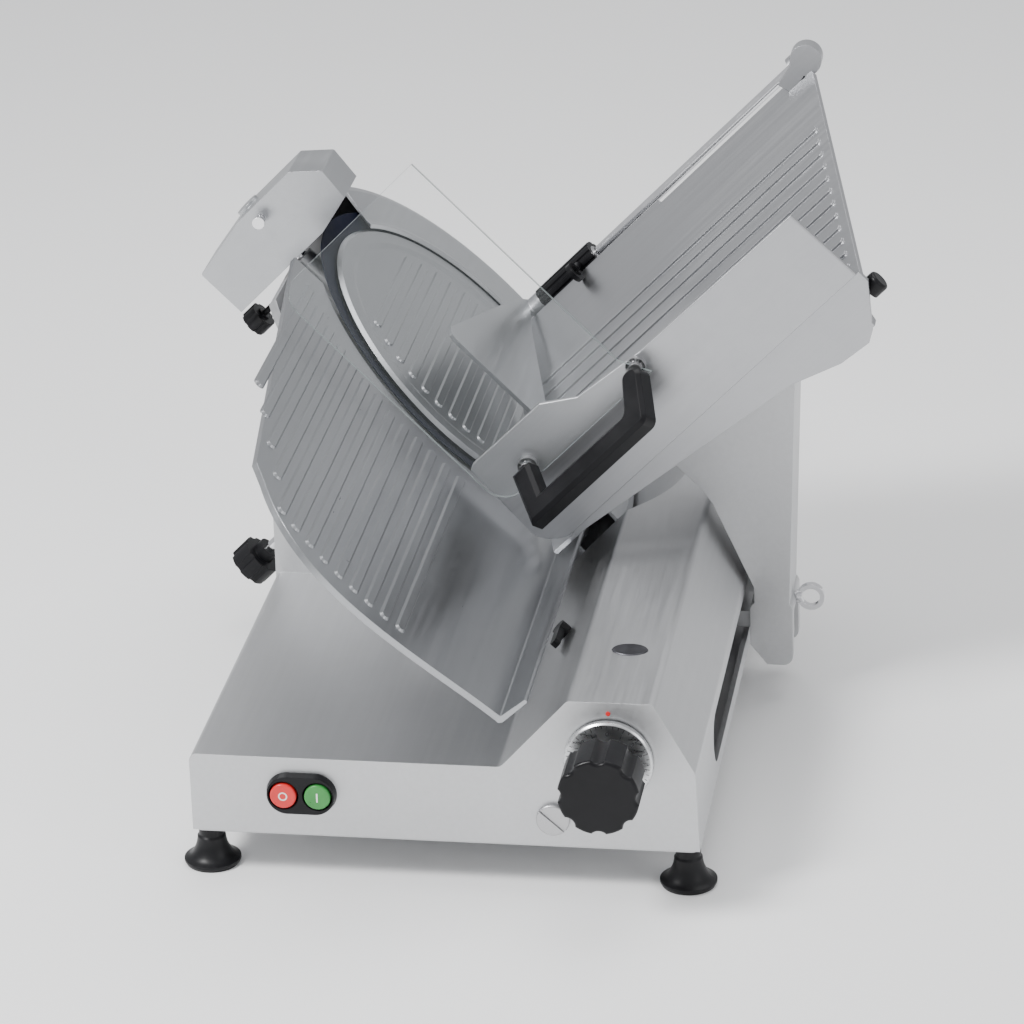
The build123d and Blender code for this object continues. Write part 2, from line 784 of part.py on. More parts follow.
with BuildPart() as tray:
    with BuildSketch(floor_plane(0)):
        with BuildLine():
            Polyline(
                (carriage_end, 0), (tray_right, 0), (tray_right_back, floor_width - 16),
                (tray_right_back - 8, floor_width), (carriage_end, floor_width), close=True,
            )
        make_face()
    extrude(amount=-floor_thick)
    with BuildSketch(floor_plane(0)):
        with Locations(((carriage_end + 218) / 2, floor_width + 2)):
            Rectangle(218 - carriage_end, 10)
    extrude(amount=-floor_thick)
    for i in range(12):
        across = 22 + i * tray_rib_pitch
        end = tray_right + (tray_right_back - tray_right) * across / floor_width - 8
        with BuildSketch(floor_plane(-0.5)):
            with Locations(((carriage_end + 8 + end) / 2, across)):
                SlotOverall(end - carriage_end - 8, 8)
        extrude(amount=2.6, taper=20)
    # skirt under the front edge, and the rib at the back edge
    with BuildSketch(cross_plane(tray_front + 6)):
        with BuildLine():
            Line((carriage_end + 28, fold_u + 2), (carriage_end + 28, fold_u - 3))
            Line((carriage_end + 28, fold_u - 3), (283, -181))
            Line((283, -181), (330, -197))
            Line((330, -197), (362, -200))
            Line((362, -200), (372, -194))
            Line((372, -194), (tray_right, -158))
            Line((tray_right, -158), (tray_right, fold_u + 2))
            Line((tray_right, fold_u + 2), (carriage_end + 28, fold_u + 2))
        make_face()
    extrude(amount=6)
    # right end flange, closing the skirt to the floor
    with BuildSketch(Plane(origin=at(0, tray_front, 0), x_dir=(0, 1, 0), z_dir=feed).offset(tray_right - 30)):
        with BuildLine():
            Polyline((0, fold_u), (0, -192), (14, -192), (60, fold_u + 18), close=True)
        make_face()
    extrude(amount=5)
    # rounded lug at the top corner
    with BuildSketch(cross_plane(tray_front + floor_width * cos(radians(floor_slope)) + 6)):
        with Locations((tray_right_back + 2, -24)):
            Circle(15)
        with Locations((tray_right_back - 14, -26)):
            Rectangle(36, 16, rotation=14)
    extrude(amount=18)
    # supports of the pusher's rod
    for s in (rod_low, rod_high - support_width):
        with BuildSketch(blade_plane(s, rod_y, rod_u)):
            Circle(11)
            with Locations((-15, -3)):
                Rectangle(30, 10)
        extrude(amount=support_width)
    with BuildSketch(blade_plane(rod_low, rod_y, rod_u)):
        Circle(pusher_rod_radius)
    extrude(amount=rod_high - rod_low, mode=Mode.SUBTRACT)
save(tray, "tray")

wall_out = 4.0
with BuildPart() as front_wall:
    with BuildSketch(cross_plane(tray_front)):
        with BuildLine():
            Line((carriage_end + 4, -40), (carriage_end + 10, -37))
            Line((carriage_end + 10, -37), (106, -38))
            Line((106, -38), (136, -57))
            Line((136, -57), (209, -65))
            Line((209, -65), (397, -67))
            Line((397, -67), (400, -146))
            Line((400, -146), (38, -146))
            Spline((38, -146), (carriage_end + 10, -138), (carriage_end, -118), tangents=((-1, 0), (0, 1)))
            Line((carriage_end, -118), (carriage_end + 4, -40))
        make_face()
    extrude(amount=wall_out)
    fillet(edges().filter_by(GeomType.LINE).filter_by(
        lambda e: e.center().Y < front_y + blade_y + tray_front - wall_out + 0.1), radius=1.2)
save(front_wall, "front_wall")

ring_z = 90.0
arm_outline = [
    (hinge_x - 14, hinge_z), (hinge_x - 14, 112), (412, 196), (400, 212), (322, 286), (360, 420), (500, 420),
    (488, 316), (hinge_x + 18, hinge_z),
]
with BuildPart() as carriage_arm:
    with BuildSketch(front_plane(arm_y)):
        with BuildLine():
            Polyline(arm_outline, close=True)
        make_face()
        with Locations((hinge_x + 2, hinge_z + 6)):
            RectangleRounded(40, 64, 9)
        # the inner corner is cut away, so that it clears the base when the tray tilts out
        with BuildLine():
            Polyline(
                (hinge_x - 24, hinge_z + 1.5), (hinge_x + 2, hinge_z - 31), (hinge_x - 24, hinge_z - 31), close=True,
            )
        make_face(mode=Mode.SUBTRACT)
    extrude(amount=-arm_width)
    with BuildSketch(front_plane(arm_y + 12)):
        with Locations((hinge_x, hinge_z - 2)):
            Rectangle(60, 54)
    extrude(amount=-(arm_width - 24), mode=Mode.SUBTRACT)
    with BuildSketch(front_plane(arm_y + 10)):
        with BuildLine():
            Polyline([(458, 130), (424, 196), (360, 268), (380, 420), (460, 420), (476, 316), (472, 130)], close=True)
        make_face()
    extrude(amount=-(arm_width + 5), mode=Mode.SUBTRACT)
    with BuildSketch(front_plane(arm_y + 3.5)):
        with Locations((hinge_x, hinge_z)):
            Circle(5 + run_gap)
    extrude(amount=-arm_width, mode=Mode.SUBTRACT)
    with BuildSketch(floor_plane(-floor_thick)):
        with Locations((200, 150)):
            Rectangle(700, 700)
    extrude(amount=300, mode=Mode.SUBTRACT)
    with BuildSketch(Plane(origin=base_point(492, arm_y + 35, ring_z), x_dir=(0, 1, 0), z_dir=(1, 0, 0))):
        Circle(4 + run_gap)
    extrude(amount=-60, mode=Mode.SUBTRACT)
save(carriage_arm, "carriage_arm")

ring_x = 481.0
with BuildPart() as arm_ring_knob:
    with BuildSketch(Plane(origin=base_point(ring_x - 14, arm_y + 35, ring_z), x_dir=(0, 1, 0), z_dir=(1, 0, 0))):
        Circle(4)
    extrude(amount=20)
    with BuildSketch(Plane(origin=base_point(ring_x + 5.5, arm_y + 35, ring_z), x_dir=(0, 1, 0), z_dir=(1, 0, 0))):
        Circle(6)
    extrude(amount=5)
    with BuildSketch(front_plane(arm_y + 32)):
        with Locations((ring_x + 19, ring_z)):
            Circle(13)
            Circle(8.5, mode=Mode.SUBTRACT)
    extrude(amount=-6)
save(arm_ring_knob, "arm_ring_knob")

# ---------------------------------------------------------------- handle on the front wall
handle_out = Vector(0, -0.75, 0) - climb * 0.66
handle_outline = [(-80, 0), (-84, 56), (64, 56), (84, 0), (62, 0), (47, 35), (-62, 35), (-59, 0)]
handle_plane = Plane(
    origin=at(125, tray_front - wall_out - 15, -72), x_dir=feed, z_dir=feed.cross(handle_out.normalized()),
)
with BuildPart() as handle:
    with BuildSketch(handle_plane):
        with BuildLine():
            Polyline(handle_outline, close=True)
        make_face()
        fillet(vertices().sort_by(Axis(handle_plane.origin, handle_out))[4:], radius=9)
    extrude(amount=10.5, both=True)
    chamfer(faces().sort_by(Axis(handle_plane.origin, handle_plane.z_dir))[0].edges(), length=3.5)
    chamfer(faces().sort_by(Axis(handle_plane.origin, handle_plane.z_dir))[-1].edges(), length=3.5)
save(handle, "handle")

# ---------------------------------------------------------------- pusher rod, clear guard
with BuildPart() as pusher_rod:
    with BuildSketch(blade_plane(rod_low, rod_y, rod_u)):
        Circle(pusher_rod_radius)
    extrude(amount=rod_high - rod_low)
save(pusher_rod, "pusher_rod")

stud_places = [(197, -72), (56, -72)]
sheet_gap = 6.0
sheet_thick = 4.0
sheet_y = tray_front - wall_out - sheet_gap
with BuildPart() as clear_guard:
    with BuildSketch(cross_plane(sheet_y)):
        with BuildLine():
            Polyline((13, -84), (13, 198), (191, 198), (191, -56), (206, -84), close=True)
        make_face()
        fillet(vertices().sort_by(Axis(centre, climb))[-2:], radius=24)
        with Locations(*stud_places):
            Circle(6, mode=Mode.SUBTRACT)
    extrude(amount=sheet_thick)
save(clear_guard, "clear_guard")

with BuildPart() as wall_fixings:
    with BuildSketch(cross_plane(tray_front - wall_out)):
        with Locations(*stud_places):
            Circle(6)
    extrude(amount=12)
    with BuildSketch(cross_plane(tray_front - wall_out)):
        with Locations(*stud_places):
            Circle(9)
            Circle(6, mode=Mode.SUBTRACT)
    extrude(amount=sheet_gap)
save(wall_fixings, "wall_fixings")

with BuildPart() as tray_knob:
    with BuildSketch(blade_plane(tray_right - 24.7, tray_front + 18, -168)):
        Circle(4)
    extrude(amount=14.7)
    with BuildSketch(blade_plane(tray_right - 10, tray_front + 18, -168)):
        Circle(10)
    extrude(amount=14)
    fillet(faces().sort_by(Axis(centre, feed))[-1].edges(), radius=3)
save(tray_knob, "tray_knob")

# ---------------------------------------------------------------- pusher
sleeve_start = 50.0
sleeve_length = 80.0
slide_radius = 8.0
grip_radius = 13.5
pusher_s = 40.0
with BuildPart() as pusher_sleeve:
    with BuildSketch(blade_plane(sleeve_start, rod_y, rod_u)):
        Circle(slide_radius)
        Circle(pusher_rod_radius + run_gap, mode=Mode.SUBTRACT)
    extrude(amount=sleeve_length)
save(pusher_sleeve, "pusher_sleeve")

with BuildPart() as pusher_grip:
    with BuildSketch(blade_plane(sleeve_start + 8, rod_y, rod_u)):
        Circle(grip_radius)
        with PolarLocations(grip_radius + 0.4, 10):
            Circle(1.8, mode=Mode.SUBTRACT)
        Circle(slide_radius + run_gap, mode=Mode.SUBTRACT)
    extrude(amount=sleeve_length - 8)
save(pusher_grip, "pusher_grip")

with BuildPart() as pusher_plate:
    with BuildSketch(blade_plane(pusher_s + 6, rod_y, rod_u)):
        with BuildLine():
            Polyline(
                (8, 8), (0, 13), (-18, 24), (-190, 74), (-200, 70), (-203, 60), (-203, -58), (-170, -46),
                (-60, -6), (-16, 6), (-8, -6), (8, -6), close=True,
            )
        make_face()
        Circle(slide_radius + run_gap, mode=Mode.SUBTRACT)
    extrude(amount=-4)
    with BuildSketch(blade_plane(pusher_s + 6, rod_y, rod_u)):
        Circle(12.5)
        Circle(slide_radius + run_gap, mode=Mode.SUBTRACT)
    extrude(amount=12)
    with BuildSketch(blade_plane(pusher_s + 3, rod_y, rod_u)):
        with Locations((-122, 10)):
            with GridLocations(24, 20, 6, 2):
                Circle(3.4)
    extrude(amount=-8, taper=20)
save(pusher_plate, "pusher_plate")

with BuildPart() as pusher_ring_knob:
    with BuildSketch(Plane(origin=at(112, rod_y - grip_radius - 0.3, rod_u + 6), x_dir=feed, z_dir=(0, -1, 0))):
        Circle(3.5)
    extrude(amount=12)
    with BuildSketch(blade_plane(109.5, rod_y - grip_radius - 20, rod_u + 6)):
        Circle(10)
        Circle(6, mode=Mode.SUBTRACT)
    extrude(amount=5)
save(pusher_ring_knob, "pusher_ring_knob")

# ---------------------------------------------------------------- sharpener
head_front = -38.0
head_back = 24.0
head_wall = 4.0
post_top = 243.0


def post_plane(u, s=post_s, y=post_y):
    """Square to the sharpener's post, at a height up the blade plane: local x runs back."""
    return Plane(origin=at(s, y, u), x_dir=(0, 1, 0), z_dir=climb)


with BuildPart() as sharpener_post:
    with BuildSketch(post_plane(132)):
        Circle(post_radius)
    extrude(amount=post_top - 132)
save(sharpener_post, "sharpener_post")

head_profile = [
    (-106, 188), (-106, 240), (-42, 251), (30, 251), (54, 230), (50, 197), (10, 188),
]
head_inside = [
    (-102, 180), (-102, 237), (-41, 247), (28, 247), (50, 228), (46, 180),
]
with BuildPart() as sharpener_housing:
    with BuildSketch(cross_plane(head_back)):
        with BuildLine():
            Polyline(head_profile, close=True)
        make_face()
    extrude(amount=head_back - head_front)
    fillet(edges().filter_by(Axis.Y).filter_by(lambda e: (e.center() - centre).dot(climb) > 200), radius=3)
    with BuildSketch(cross_plane(head_back - head_wall)):
        with BuildLine():
            Polyline(head_inside, close=True)
        make_face()
    extrude(amount=head_back - head_front - 2 * head_wall, mode=Mode.SUBTRACT)
    with BuildSketch(post_plane(195)):
        Circle(12)
    extrude(amount=59)
    with BuildSketch(post_plane(190)):
        Circle(post_radius + run_gap)
    extrude(amount=post_top + 1 - 190, mode=Mode.SUBTRACT)
save(sharpener_housing, "sharpener_housing")

stone_radius = 22.5
stone_u = 208.5
grind_front = -67.0        # the blade's rim runs in the gap between the stones when they are swung over
hone_front = -77.0
stone_thick = 13.0
for name, front, way in (("grinding_stone", hone_front, -1), ("honing_stone", grind_front, 1)):
    with BuildPart() as stone:
        with BuildSketch(blade_plane(front, post_y, stone_u)):
            Circle(stone_radius)
            Circle(4 + run_gap, mode=Mode.SUBTRACT)
        extrude(amount=way * stone_thick)
    save(stone, name)

with BuildPart() as stone_shafts:
    with BuildSketch(blade_plane(hone_front - 1, post_y, stone_u)):
        Circle(4)
    extrude(amount=-24)
    with BuildSketch(blade_plane(hone_front - stone_thick, post_y, stone_u)):
        Circle(7)
    extrude(amount=-3)
    with BuildSketch(blade_plane(-101.5, post_y, stone_u)):
        Circle(9)
    extrude(amount=6)
    with BuildSketch(blade_plane(grind_front + 1, post_y, stone_u)):
        Circle(4)
    extrude(amount=18)
save(stone_shafts, "stone_shafts")

with BuildPart() as clamp_knob:
    with BuildSketch(blade_plane(-106, post_y, clamp_u)):
        Circle(clamp_radius)
    extrude(amount=63.6)
    with BuildSketch(blade_plane(-104, post_y, clamp_u)):
        Circle(6.5)
    extrude(amount=-2)
    with BuildSketch(blade_plane(-106, post_y, clamp_u)):
        lobed_outline(13.5, 7, 1.3)
    extrude(amount=-16)
    fillet(faces().sort_by(Axis(centre, feed))[0].edges(), radius=1.2)
save(clamp_knob, "clamp_knob")

with BuildPart() as hone_pin:
    with BuildSketch(cross_plane(head_front)):
        with Locations((-22, 238)):
            Circle(5)
    extrude(amount=3)
    with BuildSketch(cross_plane(head_front - 3)):
        with Locations((-22, 238)):
            Circle(3)
    extrude(amount=9)
    with BuildSketch(cross_plane(head_front - 12)):
        with Locations((-22, 238)):
            Circle(6)
    extrude(amount=3)
save(hone_pin, "hone_pin")

# ---------------------------------------------------------------- carriage lock on the ridge's left slope
slope = Vector(ridge_z - deck_z, 0, -(ridge_x0 - crease_x)).normalized() * -1
lever_x = (crease_x + ridge_x0) / 2
lever_y = 205.0
lever_z = (deck_z + ridge_z) / 2
with BuildPart() as lock_lever:
    with BuildSketch(Plane(origin=base_point(lever_x, lever_y, lever_z), x_dir=(0, 1, 0), z_dir=slope)):
        Circle(7)
    extrude(amount=10)
    with BuildSketch(Plane(origin=base_point(lever_x, lever_y, lever_z) + slope * 4, x_dir=(0, 1, 0), z_dir=slope)):
        with Locations((-17, 0)):
            SlotOverall(36, 8)
    extrude(amount=6)
save(lock_lever, "lock_lever")
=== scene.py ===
import math

import bmesh
import bpy
from mathutils import Matrix, Vector


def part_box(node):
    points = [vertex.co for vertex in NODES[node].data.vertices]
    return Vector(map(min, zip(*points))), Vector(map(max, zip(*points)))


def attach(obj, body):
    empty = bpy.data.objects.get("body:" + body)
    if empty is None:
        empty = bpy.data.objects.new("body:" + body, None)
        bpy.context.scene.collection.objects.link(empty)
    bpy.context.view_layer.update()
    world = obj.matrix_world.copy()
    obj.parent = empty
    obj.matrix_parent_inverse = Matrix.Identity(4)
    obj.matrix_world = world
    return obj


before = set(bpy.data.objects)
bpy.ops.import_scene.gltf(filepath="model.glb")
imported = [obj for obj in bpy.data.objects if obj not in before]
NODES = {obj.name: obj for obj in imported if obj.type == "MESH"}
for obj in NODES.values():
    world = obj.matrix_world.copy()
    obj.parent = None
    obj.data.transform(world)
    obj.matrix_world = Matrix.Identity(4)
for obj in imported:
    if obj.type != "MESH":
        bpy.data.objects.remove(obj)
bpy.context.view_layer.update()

# ---------------------------------------------------------------- materials


class Shader:
    """A node material with short calls for the nodes used here."""

    def __init__(self, name):
        self.material = bpy.data.materials.new(name)
        self.material.use_nodes = True
        self.tree = self.material.node_tree
        self.shader = self.tree.nodes["Principled BSDF"]

    def node(self, kind, **values):
        made = self.tree.nodes.new(kind)
        for key, value in values.items():
            if hasattr(made, key):
                setattr(made, key, value)
            else:
                made.inputs[key].default_value = value
        return made

    def link(self, a, b):
        self.tree.links.new(a, b)

    def put(self, socket, value):
        self.shader.inputs[socket].default_value = value

    def place(self, scale, turn=0.0):
        """Object coordinates, turned about Y and stretched."""
        coords = self.node("ShaderNodeTexCoord")
        mapping = self.node("ShaderNodeMapping")
        turned = self.node("ShaderNodeMapping")
        turned.inputs["Rotation"].default_value = (0, turn, 0)
        self.link(coords.outputs["Object"], turned.inputs["Vector"])
        self.link(turned.outputs["Vector"], mapping.inputs["Vector"])
        mapping.inputs["Scale"].default_value = scale
        return mapping.outputs["Vector"]

    def noise(self, where, scale, detail=4.0, rough=0.55):
        made = self.node("ShaderNodeTexNoise")
        made.inputs["Scale"].default_value = scale
        made.inputs["Detail"].default_value = detail
        made.inputs["Roughness"].default_value = rough
        self.link(where, made.inputs["Vector"])
        return made.outputs["Fac"]

    def spread(self, value, low, high, start=0.3, end=0.7):
        made = self.node("ShaderNodeMapRange")
        made.inputs["From Min"].default_value = start
        made.inputs["From Max"].default_value = end
        made.inputs["To Min"].default_value = low
        made.inputs["To Max"].default_value = high
        self.link(value, made.inputs["Value"])
        return made.outputs["Result"]

    def blend(self, factor, a, b):
        made = self.node("ShaderNodeMix")
        made.data_type = "RGBA"
        made.inputs["A"].default_value = (*a, 1)
        made.inputs["B"].default_value = (*b, 1)
        self.link(factor, made.inputs["Factor"])
        return made.outputs["Result"]

    def relief(self, height, strength, distance, edge=0.0):
        bump = self.node("ShaderNodeBump")
        bump.inputs["Strength"].default_value = strength
        bump.inputs["Distance"].default_value = distance
        self.link(height, bump.inputs["Height"])
        if edge:
            bevel = self.node("ShaderNodeBevel", samples=4)
            bevel.inputs["Radius"].default_value = edge
            self.link(bevel.outputs["Normal"], bump.inputs["Normal"])
        self.link(bump.outputs["Normal"], self.shader.inputs["Normal"])


def metal(
    name, tone, rough, grain=(6, 260, 260), turn=0.0, spread=0.09, relief=0.12,
    edge=0.0008, aniso=0.35, pure=1.0,
):
    """Brushed metal: fine grain in one direction, with soft smudges over it."""
    s = Shader(name)
    fine = s.noise(s.place(grain, turn), 1.0, 6.0, 0.6)
    smudge = s.noise(s.place((1, 1, 1)), 9.0, 5.0, 0.6)
    wear = s.noise(s.place((1, 1, 1)), 60.0, 3.0, 0.7)
    both = s.node("ShaderNodeMath", operation="MULTIPLY_ADD")
    s.link(fine, both.inputs[0])
    both.inputs[1].default_value = 0.6
    s.link(s.spread(smudge, 0.12, 0.26), both.inputs[2])
    tone_low = tuple(c * 0.80 for c in tone)
    tone_high = tuple(min(1.0, c * 1.08) for c in tone)
    s.link(s.blend(both.outputs[0], tone_low, tone_high), s.shader.inputs["Base Color"])
    rough_sum = s.node("ShaderNodeMath", operation="ADD")
    s.link(s.spread(fine, rough - spread, rough + spread), rough_sum.inputs[0])
    s.link(s.spread(wear, -0.015, 0.02), rough_sum.inputs[1])
    s.link(rough_sum.outputs[0], s.shader.inputs["Roughness"])
    s.relief(fine, relief, 0.0006, edge)
    s.put("Metallic", pure)
    if pure < 1.0:
        s.put("Specular IOR Level", 0.06)
    s.put("Anisotropic", aniso)
    return s.material


def plastic(name, tone, rough, pebble=900.0, relief=0.08, edge=0.0008, level=0.5):
    """Moulded plastic or rubber: fine pebble, finger marks and slightly uneven gloss."""
    s = Shader(name)
    fine = s.noise(s.place((1, 1, 1)), pebble, 3.0, 0.5)
    marks = s.noise(s.place((1, 1, 1)), 25.0, 5.0, 0.65)
    pale = tuple(c * 1.5 + 0.002 for c in tone)
    s.link(s.blend(s.spread(marks, 0, 1), tone, pale), s.shader.inputs["Base Color"])
    s.link(s.spread(marks, rough - 0.07, rough + 0.1), s.shader.inputs["Roughness"])
    s.relief(fine, relief, 0.0003, edge)
    s.put("Specular IOR Level", level)
    return s.material


def clear(name, alpha, tone):
    s = Shader(name)
    marks = s.noise(s.place((1, 1, 1)), 14.0, 4.0, 0.6)
    s.link(s.blend(marks, tone, tuple(min(1.0, c * 1.05) for c in tone)), s.shader.inputs["Base Color"])
    s.link(s.spread(marks, 0.02, 0.08), s.shader.inputs["Roughness"])
    s.link(s.spread(marks, alpha * 0.85, alpha * 1.2), s.shader.inputs["Alpha"])
    s.relief(marks, 0.02, 0.0005)
    s.put("Specular IOR Level", 0.08)
    return s.material


def stone(name, tone):
    s = Shader(name)
    grit = s.noise(s.place((1, 1, 1)), 1500.0, 6.0, 0.8)
    dark = tuple(c * 0.6 for c in tone)
    pale = tuple(c * 1.5 for c in tone)
    s.link(s.blend(s.spread(grit, 0, 1), dark, pale), s.shader.inputs["Base Color"])
    s.link(s.spread(grit, 0.75, 0.95), s.shader.inputs["Roughness"])
    s.relief(grit, 0.5, 0.0004)
    return s.material


# the feed direction rises to the right at 45 degrees, and the grain of the sheets follows it
TILT = math.radians(45)
CAST = metal("cast_alloy", (0.60, 0.605, 0.615), 0.44, grain=(220, 5, 220), relief=0.06, spread=0.04)
CAST_FEED = metal(
    "cast_feed", (0.50, 0.505, 0.52), 0.36, grain=(5, 240, 240), turn=TILT, relief=0.06, spread=0.05
)
CAST_BACK = metal(
    "cast_back", (0.48, 0.49, 0.505), 0.36, grain=(240, 5, 240), turn=TILT, relief=0.06, spread=0.05
)
SATIN = metal(
    "satin_plate", (0.40, 0.41, 0.425), 0.32, grain=(200, 4, 200), turn=TILT, relief=0.04, spread=0.04
)
# the blade is polished steel; its near-black colour, with the metal shine taken out, is a painted dark
# reflection of the surroundings
BLADE_DARK_REFLECTION = metal(
    "blade_steel", (0.007, 0.009, 0.022), 0.50, grain=(60, 60, 60), relief=0.02, spread=0.04, pure=0.0
)
STEEL = metal("steel", (0.50, 0.50, 0.51), 0.34, grain=(60, 300, 60))
CHROME = metal("chrome", (0.80, 0.80, 0.82), 0.10, grain=(120, 120, 120), relief=0.02, spread=0.04)
DIAL = metal("dial_silver", (0.70, 0.71, 0.72), 0.30, grain=(40, 40, 300), relief=0.05)
BRONZE = metal("bronze", (0.55, 0.38, 0.18), 0.4, grain=(60, 60, 60))
BLACK = plastic("black_plastic", (0.004, 0.004, 0.005), 0.34, level=0.22)
RUBBER = plastic("black_rubber", (0.005, 0.005, 0.006), 0.40, pebble=500, level=0.25)
RED = plastic("red_plastic", (0.55, 0.02, 0.02), 0.3)
GREEN = plastic("green_plastic", (0.03, 0.20, 0.04), 0.3)
PAINT = plastic("motor_paint", (0.03, 0.035, 0.04), 0.45)
CLEAR = clear("clear_sheet", 0.02, (0.86, 0.92, 0.92))
# darker, more opaque material for the sheet's cut edges: painted shade standing in for the light the edges bend
CLEAR_EDGE_PAINTED_SHADE = clear("clear_edge_painted_shade", 0.65, (0.22, 0.25, 0.25))
STONE_DARK = stone("stone_dark", (0.12, 0.035, 0.025))
STONE_PALE = stone("stone_pale", (0.55, 0.52, 0.48))
BADGE = metal("badge_grey", (0.10, 0.10, 0.11), 0.35, grain=(90, 90, 90))
INK = plastic("ink", (0.03, 0.03, 0.035), 0.5)
WHITE_INK = plastic("white_ink", (0.75, 0.75, 0.72), 0.4)

FINISH = {
    CAST: "base_housing carriage_arm carriage_foot rail_brackets gauge_sleeve blade_pulley bottom_plate",
    CAST_FEED: "tray front_wall",
    CAST_BACK: "gauge_column ring_guard sharpener_housing pusher_plate",
    SATIN: "gauge_plate blade_cover",
    BLADE_DARK_REFLECTION: "blade",
    STEEL: "foot_studs casting_screws blade_screws blade_bearings spindle motor_shaft motor_pulley index_shaft"
    " index_cam follower_arm wall_fixings pusher_sleeve slotted_plug stone_shafts",
    CHROME: "tie_rod pusher_rod carriage_rails arm_ring_knob hone_pin sharpener_post hinge_pin",
    BLACK: "tie_knob index_knob switch_panel switch_box control_box handle pusher_grip tray_knob"
    " pusher_ring_knob clamp_knob lock_lever cable_gland",
    RUBBER: "feet drive_belt",
    CLEAR: "clear_guard",
    RED: "stop_button index_mark",
    GREEN: "start_button",
    DIAL: "dial",
    STONE_DARK: "grinding_stone",
    STONE_PALE: "honing_stone",
    PAINT: "motor",
    BRONZE: "carriage_bushes",
}
for material, names in FINISH.items():
    for name in names.split():
        mesh = NODES[name].data
        mesh.materials.clear()
        mesh.materials.append(material)

# the sheet's cut edges catch and bend light unlike its faces; they get painted shade, a darker and more opaque
# material
sheet_mesh = NODES["clear_guard"].data
sheet_mesh.materials.append(CLEAR_EDGE_PAINTED_SHADE)
for face in sheet_mesh.polygons:
    if abs(face.normal.y) < 0.5:
        face.material_index = 1

# ---------------------------------------------------------------- small visual pieces


def mesh_piece(name, build, material, body):
    made = bmesh.new()
    build(made)
    data = bpy.data.meshes.new(name)
    made.to_mesh(data)
    made.free()
    data.materials.append(material)
    piece = bpy.data.objects.new(name, data)
    bpy.context.scene.collection.objects.link(piece)
    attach(piece, body)
    return piece


def plate(made, corners, depth):
    """A flat outline given as points, thickened by depth."""
    low = [made.verts.new(p) for p in corners]
    high = [made.verts.new(Vector(p) + Vector(depth)) for p in corners]
    made.faces.new(low)
    made.faces.new(list(reversed(high)))
    count = len(corners)
    for i in range(count):
        made.faces.new((low[i], low[(i + 1) % count], high[(i + 1) % count], high[i]))
    bmesh.ops.recalc_face_normals(made, faces=made.faces)


def ring(made, centre, across, up, outer, inner, depth, steps=48):
    """A flat ring on a plane given by two directions."""
    rows = []
    for radius, lift in ((inner, 0), (outer, 0), (outer, 1), (inner, 1)):
        rows.append(
            [
                made.verts.new(
                    centre
                    + across * (radius * math.cos(a))
                    + up * (radius * math.sin(a))
                    + Vector(depth) * lift
                )
                for a in (2 * math.pi * k / steps for k in range(steps))
            ]
        )
    for i in range(4):
        for k in range(steps):
            a, b = rows[i], rows[(i + 1) % 4]
            made.faces.new((a[k], a[(k + 1) % steps], b[(k + 1) % steps], b[k]))
    bmesh.ops.recalc_face_normals(made, faces=made.faces)


X, Y, Z = Vector((1, 0, 0)), Vector((0, 1, 0)), Vector((0, 0, 1))
MARK_PROUD = 0.0001        # marks stand this far in front of their face
MARK_DEPTH = 0.0003
SIGN_DEPTH = 0.0004
TICKS = 45
NUMBERS = 15
LONG_TICK = 0.0042
SHORT_TICK = 0.0024

base_corner = Vector(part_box("base_housing")[0])

# marks round the dial
dial_low, dial_high = (Vector(v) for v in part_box("dial"))
dial_centre = (dial_low + dial_high) / 2
dial_front = dial_low.y
dial_radius = (dial_high.x - dial_low.x) / 2


def dial_ticks(made):
    for k in range(TICKS):
        angle = math.pi / 2 - 2 * math.pi * k / TICKS
        out = X * math.cos(angle) + Z * math.sin(angle)
        side = X * -math.sin(angle) + Z * math.cos(angle)
        length = LONG_TICK if k % (TICKS // NUMBERS) == 0 else SHORT_TICK
        base = Vector((dial_centre.x, dial_front - MARK_PROUD, dial_centre.z)) + out * (dial_radius - 0.0023)
        half = side * 0.00028
        corners = [base - half, base + half, base + half - out * length, base - half - out * length]
        plate(made, corners, Y * MARK_DEPTH)


mesh_piece("dial_ticks", dial_ticks, INK, "index")
for k in range(NUMBERS):
    angle = math.pi / 2 - 2 * math.pi * k / NUMBERS
    curve = bpy.data.curves.new("dial_number", "FONT")
    curve.body = str(k)
    curve.size = 0.0062
    curve.align_x = "CENTER"
    curve.align_y = "CENTER"
    curve.extrude = 0.00008
    curve.materials.append(INK)
    number = bpy.data.objects.new("dial_number_%d" % k, curve)
    bpy.context.scene.collection.objects.link(number)
    out = X * math.cos(angle) + Z * math.sin(angle)
    spot = Vector((dial_centre.x, dial_front - MARK_PROUD, dial_centre.z)) + out * (dial_radius - 0.0100)
    turn = Matrix.Rotation(math.pi / 2, 4, "X")
    spin = Matrix.Rotation(math.pi / 2 - angle, 4, "Y")
    number.matrix_world = Matrix.Translation(spot) @ spin @ turn
    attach(number, "index")

# round sign on the stop button and bar on the start button
stop_low, stop_high = (Vector(v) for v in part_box("stop_button"))
stop_centre = (stop_low + stop_high) / 2
start_low, start_high = (Vector(v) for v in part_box("start_button"))
start_centre = (start_low + start_high) / 2
mesh_piece(
    "stop_sign",
    lambda m: ring(
        m, Vector((stop_centre.x, stop_low.y - MARK_PROUD, stop_centre.z)), X, Z, 0.0040, 0.0028, Y * SIGN_DEPTH
    ),
    WHITE_INK,
    "stop_button_body",
)
mesh_piece(
    "start_sign",
    lambda m: plate(
        m,
        [
            Vector((start_centre.x + dx, start_low.y - MARK_PROUD, start_centre.z + dz))
            for dx, dz in ((-0.0007, -0.0042), (0.0007, -0.0042), (0.0007, 0.0042), (-0.0007, 0.0042))
        ],
        Y * SIGN_DEPTH,
    ),
    WHITE_INK,
    "start_button_body",
)

# blank oval badge on the ridge behind the dial
ridge_top = base_corner.z + 0.1380


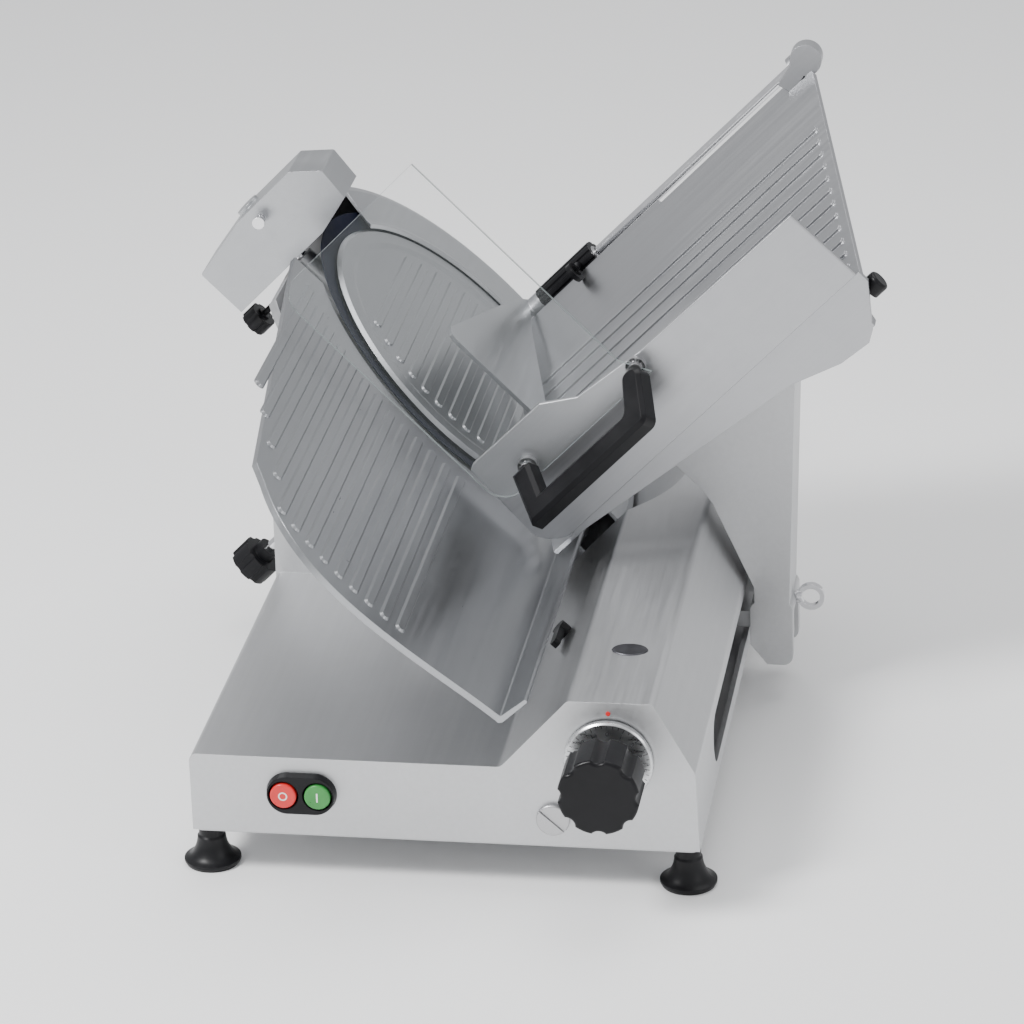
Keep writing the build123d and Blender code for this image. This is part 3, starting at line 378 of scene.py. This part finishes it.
def oval(made):
    steps = 40
    spot = Vector((base_corner.x + 0.3728, base_corner.y + 0.1065, ridge_top))
    low, high = [], []
    for k in range(steps):
        a = 2 * math.pi * k / steps
        out = X * (0.0160 * math.cos(a)) + Y * (0.0115 * math.sin(a))
        low.append(made.verts.new(spot + out))
        high.append(made.verts.new(spot + out * 0.94 + Z * 0.0010))
    made.faces.new(high)
    made.faces.new(list(reversed(low)))
    for k in range(steps):
        made.faces.new((low[k], low[(k + 1) % steps], high[(k + 1) % steps], high[k]))
    bmesh.ops.recalc_face_normals(made, faces=made.faces)


mesh_piece("badge", oval, BADGE, "base")

# ---------------------------------------------------------------- floor, light and camera
floor_data = bpy.data.meshes.new("floor")
floor_data.from_pydata([(-4, -4, 0), (4, -4, 0), (4, 4, 0), (-4, 4, 0)], [], [(0, 1, 2, 3)])
floor = bpy.data.objects.new("floor", floor_data)
bpy.context.scene.collection.objects.link(floor)
pale = Shader("floor_pale")
tint = pale.noise(pale.place((1, 1, 1)), 3.0)
pale.link(pale.blend(tint, (0.93, 0.93, 0.93), (0.96, 0.96, 0.96)), pale.shader.inputs["Base Color"])
pale.put("Roughness", 0.9)
floor_data.materials.append(pale.material)

world = bpy.data.worlds.new("studio")
bpy.context.scene.world = world
world.use_nodes = True
world.node_tree.nodes["Background"].inputs["Color"].default_value = (0.97, 0.98, 1.0, 1)
world.node_tree.nodes["Background"].inputs["Strength"].default_value = 0.72


def lamp(name, spot, power, size, target=(0, 0, 0.28), tone=(1, 1, 1)):
    data = bpy.data.lights.new(name, "AREA")
    data.energy = power
    data.size = size
    data.color = tone
    made = bpy.data.objects.new(name, data)
    bpy.context.scene.collection.objects.link(made)
    made.location = spot
    made.rotation_mode = "QUATERNION"
    made.rotation_quaternion = (Vector(target) - Vector(spot)).to_track_quat("-Z", "Y")


lamp("key", (-1.8, -1.6, 2.6), 130, 0.9)
lamp("fill", (2.4, -1.4, 1.4), 14, 1.2)
lamp("top", (0.3, 0.6, 2.8), 35, 1.8)

# the camera stands to the right of the slicer's front, looking a little down
LENS = 158.2
AZIMUTH, ELEVATION, ROLL = 9.179, 23.339, -1.651
CAMERA_FROM_CORNER = Vector((0.8376, -3.3965, 1.8396))
camera_data = bpy.data.cameras.new("camera")
camera_data.lens = LENS
camera_data.sensor_width = 36.0
camera = bpy.data.objects.new("camera", camera_data)
bpy.context.scene.collection.objects.link(camera)
azimuth, elevation, roll = (math.radians(angle) for angle in (AZIMUTH, ELEVATION, ROLL))
look = Vector(
    (
        -math.sin(azimuth) * math.cos(elevation),
        math.cos(azimuth) * math.cos(elevation),
        -math.sin(elevation),
    )
)
right = Vector((math.cos(azimuth), math.sin(azimuth), 0))
up = right.cross(look)
right_rolled = right * math.cos(roll) + up * math.sin(roll)
up_rolled = up * math.cos(roll) - right * math.sin(roll)
base_low, base_high = (Vector(v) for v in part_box("bottom_plate"))
corner = Vector((base_low.x - 0.002, base_low.y - 0.002, 0))
place = corner + CAMERA_FROM_CORNER
camera.matrix_world = Matrix.Translation(place) @ Matrix(
    (
        (right_rolled.x, up_rolled.x, -look.x),
        (right_rolled.y, up_rolled.y, -look.y),
        (right_rolled.z, up_rolled.z, -look.z),
    )
).to_4x4()
bpy.context.scene.camera = camera
